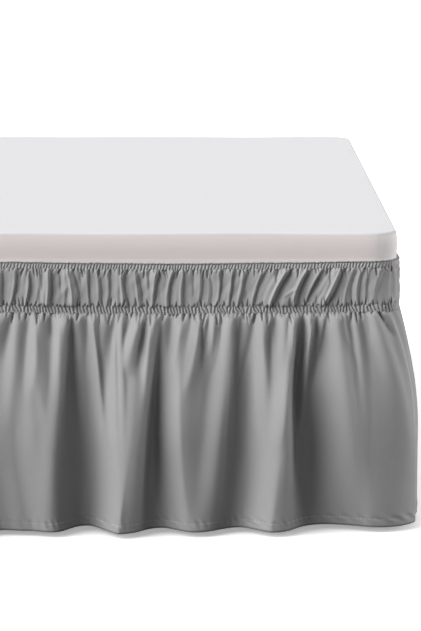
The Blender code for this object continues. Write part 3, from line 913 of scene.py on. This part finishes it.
casings = {
    "upper": {
        "low": headerTop, "high": skirtTop, "lift": 1.0, "roll": 0.15,
        "pitch": 0.0058, "rib": 0.0026, "slant": 0.25, "sway": 0.22, "uneven": 0.0002, "tooth": 0.0008,
    },
    "lower": {
        "low": dropTop, "high": headerBottom, "lift": lift["lower"], "roll": 0.0,
        "pitch": 0.0064, "rib": 0.0042, "slant": -0.25, "sway": 0.45, "uneven": 0.0007, "tooth": 0.0026,
    },
}
casingOut = (0.0050, 0.0056)     # along the edges and between them
casingColumnSize = (0.0010, 0.0022)    # at the foot and elsewhere
casingRows = 11
casingTuckedIn = 0.0006      # how far off the mattress a band's two long edges lie
casingEase = 1.05            # flat cloth for each metre round the bed


def casingProfile(what):  # rise, out, how strongly it is ribbed
    edge, most = casingOut
    profile = [(1.0, casingTuckedIn, 0.0)]
    if what["roll"]:         # a plain narrow roll along the top
        for t in np.linspace(0.0, 0.9, 4):
            profile.append((1.0 - what["roll"] * t, edge + 0.0022 * math.sin(math.pi * t), 0.0))
    for t in np.linspace(0.0, 1.0, casingRows):
        arch = math.sin(math.pi * t)
        rise = (1.0 - what["roll"]) * (1.0 - t)
        profile.append((rise, edge + (most - edge) * arch ** 0.6, 0.75 + 0.25 * arch))
    return profile + [(0.0, casingTuckedIn, 0.0)]


def makeCasing(name, finish):
    what = casings[name]
    tall = what["high"] - what["low"]
    profile = casingProfile(what)
    allX, allY, allZ, allRun, start = [], [], [], [], 0.0
    for side in sides:
        half = sideLength(side)
        run = np.linspace(-half, half, int(2 * half / casingColumnSize[side != "foot"]), endpoint=False)
        along = start + run + half
        wander = waves(91, 9, along, 0, 0.10, 1)
        tilt = what["slant"] + what["sway"] * waves(92, 5, along, 0, 0.035, 1)
        shift = what["lift"] * liftAlong(side, run) + what["uneven"] * waves(94, 7, along, 0, 0.05, 1)
        places, heights = [], []
        for rise, out, ribbed in profile:
            z = rise * tall
            turn = np.pi * (along - tilt * (z - 0.5 * tall)) / what["pitch"] + 1.2 * wander
            rib = np.abs(np.sin(turn)) - 0.6
            places.append(bedEdge(side, run, np.maximum(out + what["rib"] * ribbed * rib, 0.0004)))
            tooth = what["tooth"] * (2 * rise - 1) * np.maximum(rib, 0) * (ribbed > 0)
            heights.append(what["low"] + z + shift + tooth)
        allX.append([place[0] for place in places])
        allY.append([place[1] for place in places])
        allZ.append(heights)
        allRun.append(along)
        start += 2 * half
    x, y, z, along = np.hstack(allX), np.hstack(allY), np.hstack(allZ), np.concatenate(allRun)
    z = z + 0.0004 * waves(93, 9, along[None, :], 0, 0.012, 1)
    v = np.array([rise * tall for rise, _, _ in profile])[:, None] + 0 * x
    piece = sheetMesh("casingBand_" + name, x, y, z, along[None, :] * clothFullness + 0 * x, v, loop=True)
    dress(piece, finish, "casing_" + name)
    start * casingEase
    2 * tall
    return piece


# ---- the mattress, the base and the legs ----

mattress = {
    "node": "mattress",
    "edge": 0.006,           # how round the top edge is
    "foot": 0.010,           # and the bottom edge
    "crown": 0.0015,
    "swell": 0.002,          # outwards, between the skirt and the top edge
    "swellOver": 0.024,
    "wrinkle": 0.0005,
    "fill": 0.95,
}
base = {
    "node": "bed_base",
    "edge": 0.008,
    "foot": 0.008,
    "crown": 0.0,
    "swell": 0.0,
    "wrinkle": 0.0003,
    "fill": 1.0,
}
loopStep = 0.030
cornerSteps = 12
topRings = 18


def outlineLoop(halfWidth, halfLength, radius):  # places round a rounded oblong, and the way each one faces
    places, faces = [], []
    corners = ((1, -1, -90), (1, 1, 0), (-1, 1, 90), (-1, -1, 180))
    straights = (halfLength - radius, halfWidth - radius) * 2
    for (signX, signY, start), straight in zip(corners, straights):
        centre = np.array((signX * (halfWidth - radius), signY * (halfLength - radius)))
        for i in range(cornerSteps + 1):
            turn = math.radians(start + 90 * i / cornerSteps)
            way = np.array((math.cos(turn), math.sin(turn)))
            places.append(centre + radius * way)
            faces.append(way)
        end = faces[-1]
        along = np.array((-end[1], end[0]))
        steps = int(2 * straight / loopStep)
        first = places[-1]
        for i in range(1, steps):
            places.append(first + along * 2 * straight * i / steps)
            faces.append(end)
    return np.array(places), np.array(faces)


def makeBlock(name, what, finish):
    low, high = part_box(what["node"])
    places, faces = outlineLoop(high[0], high[1], bed["corner"])
    tall = high[2] - low[2]
    rows = []                # inset, height, share of the outline's size
    for share in np.linspace(0.02, 0.96, 8):
        rows.append((what["foot"], 0.0, share))
    for angle in np.linspace(0, 90, 5):
        turn = math.radians(angle)
        rows.append((what["foot"] * (1 - math.sin(turn)), what["foot"] * (1 - math.cos(turn)), 1.0))
    for share in np.linspace(0.08, 0.92, 9):
        rows.append((0.0, mix(what["foot"], tall - what["edge"], share ** 0.6), 1.0))
    for angle in np.linspace(0, 90, 9):
        turn = math.radians(angle)
        rise = tall - what["edge"] * (1 - math.sin(turn))
        rows.append((what["edge"] * (1 - math.cos(turn)), rise, 1.0))
    for share in np.linspace(0.985, 0.01, topRings):
        rows.append((what["edge"], tall + what["crown"] * (1 - share ** 6), share))

    around = np.concatenate([[0], np.cumsum(np.linalg.norm(np.diff(places, axis=0), axis=1))])
    x, y, z, u, v = [], [], [], [], []
    walked = 0.0
    for i, (inset, rise, share) in enumerate(rows):
        ring = (places - inset * faces) * share
        x.append(ring[:, 0])
        y.append(ring[:, 1])
        z.append(low[2] + rise + 0 * ring[:, 0])
        if i:
            before = rows[i - 1]
            walked += math.hypot(rise - before[1], inset - before[0] + (share - before[2]) * high[0])
        u.append(around)
        v.append(walked + 0 * around)
    x, y, z, u, v = (np.array(grid) for grid in (x, y, z, u, v))
    if what["swell"]:
        share = ease((z - skirtTop) / what["swellOver"]) * ease((high[2] - z) / what["swellOver"])
        ways = np.array(faces).T
        x, y = x + what["swell"] * share * ways[0], y + what["swell"] * share * ways[1]
    bumpy = what["wrinkle"] * waves(71, 7, x, y, 0.35, 0.45)
    z = z + bumpy * (z > low[2] + 0.5 * tall)
    piece = sheetMesh(name, x[::-1], y[::-1], z[::-1], u[::-1], v[::-1], loop=True)
    closeEnds(piece, x.shape)
    dress(piece, finish, what["node"])
    return piece


def closeEnds(piece, shape):  # the two small holes left in the middle of the top and of the bottom
    rows, columns = shape
    built = bmesh.new()
    built.from_mesh(piece.data)
    built.verts.ensure_lookup_table()
    built.faces.new([built.verts[i] for i in range(columns)][::-1])
    built.faces.new([built.verts[(rows - 1) * columns + i] for i in range(columns)])
    bmesh.ops.recalc_face_normals(built, faces=built.faces)
    for face in built.faces:
        face.smooth = True
    built.to_mesh(piece.data)
    built.free()


# ---- finishes ----

skirtCloth = {
    "light": (0.364, 0.361, 0.364, 1),
    "dark": (0.276, 0.272, 0.274, 1),
    "thread": (0.62, 0.62, 0.63, 1),
    # painted shade, on the hem's edge and the upper casing's top
    "paintedShadeEdge": (0.11, 0.11, 0.10, 1),
    "roughness": (0.56, 0.70),
    "sheen": 0.22,
    "weave": 0.0009,         # from thread to thread
    "weaveDepth": 0.00010,
    "nap": 0.00025,
    "stitchPitch": 0.0078,
    "stitchLong": 0.64,
    "stitchWide": 0.0017,
    # painted highlight along the corner seams, its half width
    "seamHighlightWide": 0.0036,
    "hemShadeWide": 0.0034,       # painted shade along the hem's turned lower edge, its width
}
coverCloth = {
    # painted light: the top and the side are one cover, coloured apart so each face comes out as lit
    "top": (0.700, 0.697, 0.722, 1),
    "side": (0.885, 0.805, 0.795, 1),
    # painted light over the rounded corners
    "corner": (0.97, 0.93, 0.93, 1),
    "cornerLightOver": 0.020,
    "stripe": (0.86, 0.84, 0.84, 1),
    "stripeOver": 0.0035,    # how far over the skirt's top
    "stripeHalf": 0.0018,
    "stripeSoft": 0.0008,
    "stripePitch": 0.0045,
    "turnsAt": 0.5710,
    "turnsOver": 0.003,
    "roughness": (0.72, 0.85),
    "weave": 0.0008,
    "weaveDepth": 0.00006,
}
ticking = {
    "light": (0.42, 0.40, 0.37, 1),
    "dark": (0.33, 0.31, 0.285, 1),
    "weave": 0.0016,
    "weaveDepth": 0.00022,
}
legWood = {
    "light": (0.19, 0.105, 0.055, 1),
    "dark": (0.085, 0.042, 0.021, 1),
    "roughness": (0.36, 0.52),
}


def clothPlace(finish):  # the place on the flat cloth, across and up
    place = finish.node("ShaderNodeUVMap", {"uv_map": "cloth"})
    across = finish.node("ShaderNodeSeparateXYZ", None, {0: place})
    up = Wire(finish, across.socket.node.outputs[1])
    return place, across, up


def weaveHeight(finish, across, up, pitch):
    warp = (across * (2 * math.pi / pitch)).under("SINE")
    weft = (up * (2 * math.pi / pitch)).under("SINE")
    return warp * weft * 0.5 + 0.5


def clothNoise(finish, place, scale, detail=3.0, stretch=(1, 1, 1)):
    spot = finish.node("ShaderNodeMapping", None, {"Vector": place, "Scale": stretch})
    return finish.node("ShaderNodeTexNoise", None, {"Vector": spot, "Scale": scale, "Detail": detail})


def band(finish, value, middle, half, soft):  # 1 within half of the middle, falling to 0 over soft
    away = (value - middle).under("ABSOLUTE")
    return finish.node("ShaderNodeMapRange", None, {0: away, 1: half, 2: half + soft, 3: 1.0, 4: 0.0})


def raised(finish, height, strength):
    return finish.node("ShaderNodeBump", None, {"Height": height, "Distance": 1.0, "Strength": strength})


def uneven(share, between):
    return share * (between[1] - between[0]) + between[0]


def makeSkirtCloth(name, stitchAt=(), paintedShadeTop=None, shade=1.0, seamHighlightAt=None):
    what = dict(skirtCloth)
    # shade above 1 gives a lighter copy of the same cloth: painted light
    for key in ("light", "dark"):
        what[key] = (*(shade * channel for channel in what[key][:3]), 1)
    finish = Finish(name)
    place, across, up = clothPlace(finish)
    weave = weaveHeight(finish, across, up, what["weave"])
    cloudy = clothNoise(finish, place, 7.0, 4.0)
    slub = clothNoise(finish, place, 160.0, 3.0, (1.0, 0.18, 1.0))
    nap = clothNoise(finish, place, 420.0, 2.0)
    color = finish.blend(cloudy * 0.55 + slub * 0.30 + weave * 0.15, what["dark"], what["light"])
    height = weave * what["weaveDepth"] + nap * what["nap"] * 0.5
    for middle in stitchAt:
        run = (across * (1 / what["stitchPitch"])).under("FRACT")
        line = band(finish, up, middle, 0.4 * what["stitchWide"], 0.2 * what["stitchWide"])
        dash = (run < what["stitchLong"]) * line
        worn = clothNoise(finish, place, 9.0, 2.0)
        shown = finish.node("ShaderNodeMapRange", None, {0: worn, 1: 0.42, 2: 0.60, 3: 0.15, 4: 0.75})
        color = finish.blend(dash * shown, color, what["thread"])
        height = height + dash * 0.0003
    if paintedShadeTop:
        # painted shade in the crease where the casing's top meets the mattress
        edge = band(finish, up, paintedShadeTop, 0.0008, 0.0008)
        color = finish.blend(edge * 0.70, color, what["paintedShadeEdge"])
    if stitchAt:
        # painted shade along the hem's lower edge and its turned-under part
        hem = band(finish, up, 0.0, 0.5 * what["hemShadeWide"], 0.5 * what["hemShadeWide"])
        color = finish.blend(hem * 0.75, color, what["paintedShadeEdge"])
    if seamHighlightAt:
        # painted highlight: a lighter band along the raised corner seam
        seam = band(finish, across.under("ABSOLUTE"), seamHighlightAt, what["seamHighlightWide"], what["seamHighlightWide"])
        color = finish.blend(seam * 0.5, color, what["thread"])
    rough = uneven(cloudy, what["roughness"])
    finish.set(Base_Color=color, Roughness=rough, Normal=raised(finish, height, 0.6))
    return finish.set(Sheen_Weight=what["sheen"], Sheen_Roughness=0.45, Specular_IOR_Level=0.25)


def makeCoverCloth():
    what = coverCloth
    finish = Finish("mattressCover")
    where = finish.node("ShaderNodeTexCoord", None, None, 3)
    x = finish.node("ShaderNodeSeparateXYZ", None, {0: where})
    y, z = (Wire(finish, x.socket.node.outputs[i]) for i in (1, 2))
    turned = what["turnsAt"] + what["turnsOver"]
    topShare = finish.node("ShaderNodeMapRange", None, {0: z, 1: what["turnsAt"], 2: turned})
    cloudy = clothNoise(finish, where, 3.0, 4.0)
    fine = clothNoise(finish, where, 300.0, 2.0)
    paintedLightCorner = []              # painted light: lighter over the corners
    for value, half in ((x, bed["halfWidth"]), (y, bed["halfLength"])):
        paintedLightCorner.append(value.under("ABSOLUTE") - (half - bed["corner"]))
    least = x.math("MINIMUM", *paintedLightCorner)
    share = finish.node("ShaderNodeMapRange", None, {0: least, 2: what["cornerLightOver"]})
    side = finish.blend(share, what["side"], what["corner"])
    # painted light: the side's colour below turnsAt, the top's above
    color = finish.blend(topShare, side, what["top"])
    stripe = band(finish, z, skirtTop + what["stripeOver"], what["stripeHalf"], what["stripeSoft"])
    run = ((x + y) * (1 / what["stripePitch"])).under("FRACT")
    color = finish.blend(stripe * ((run < 0.6) * 0.5 + 0.4), color, what["stripe"])
    shade = finish.blend(cloudy * 0.10 + fine * 0.06, color, (0.62, 0.60, 0.61, 1))
    weave = ((x + z * 0.7) * (2 * math.pi / what["weave"])).under("SINE")
    weft = ((y + z * 0.7) * (2 * math.pi / what["weave"])).under("SINE")
    height = weave * weft * what["weaveDepth"] + fine * 0.0001 + stripe * 0.0004
    rough = uneven(cloudy, what["roughness"])
    finish.set(Base_Color=shade, Roughness=rough, Normal=raised(finish, height, 0.5))
    return finish.set(Sheen_Weight=0.10, Specular_IOR_Level=0.2)


def makeTicking():
    what = ticking
    finish = Finish("baseTicking")
    place, across, up = clothPlace(finish)
    weave = weaveHeight(finish, across, up, what["weave"])
    cloudy = clothNoise(finish, place, 9.0, 4.0)
    color = finish.blend(weave * 0.5 + cloudy * 0.5, what["dark"], what["light"])
    bump = raised(finish, weave * what["weaveDepth"], 0.7)
    finish.set(Base_Color=color, Roughness=cloudy * 0.12 + 0.78, Normal=bump)
    return finish.set(Specular_IOR_Level=0.2)


def makeLegWood():
    what = legWood
    finish = Finish("legWood")
    where = finish.node("ShaderNodeTexCoord", None, None, 3)
    grain = clothNoise(finish, where, 60.0, 5.0, (1.0, 1.0, 0.08))
    pores = clothNoise(finish, where, 380.0, 2.0, (1.0, 1.0, 0.05))
    color = finish.blend(grain * 0.8 + pores * 0.2, what["dark"], what["light"])
    rough = uneven(grain, what["roughness"])
    finish.set(Base_Color=color, Roughness=rough, Normal=raised(finish, pores * 0.0002, 0.5))
    return finish.set(Coat_Weight=0.15)


sideFinish = makeSkirtCloth("sideDropCloth", stitchAt=(drop["hem"],))
endFinish = makeSkirtCloth("endDropCloth", stitchAt=(drop["hem"],), seamHighlightAt=clothFullness * sideLength("foot"))
dropFinish = {"foot": endFinish, "right": sideFinish, "head": endFinish, "left": sideFinish}
# The header and both casings are lighter copies of the drop's cloth: painted light on their folds and ribs.
headerFinish = makeSkirtCloth("headerCloth", shade=1.13)
upperFinish = makeSkirtCloth("upperCasingCloth", paintedShadeTop=skirt["upperCasing"], shade=1.34)
lowerFinish = makeSkirtCloth("lowerCasingCloth", shade=1.28)
print("finishes")

for side in sides:
    makeDrop(side, dropFinish[side])
print("drop, four panels")
for side in sides:
    makeHeader(side, headerFinish)
print("header, four strips")
makeCasing("upper", upperFinish)
makeCasing("lower", lowerFinish)
print("casings")
makeBlock("mattressPad", mattress, makeCoverCloth())
makeBlock("basePad", base, makeTicking())
print("mattress and base")

wood = makeLegWood()
for name in frame["nodes"]:
    if name.startswith("leg_"):
        leg = bpy.data.objects[name]
        leg.data.materials.clear()
        leg.data.materials.append(wood)
print("legs")

faces = 0
for thing in scene.objects:
    if thing.type == "MESH" and not thing.hide_render:
        thing.data.calc_loop_triangles()
        count = len(thing.data.loop_triangles)
        faces += count
        print("   ", thing.name, count)
print("triangles", faces)
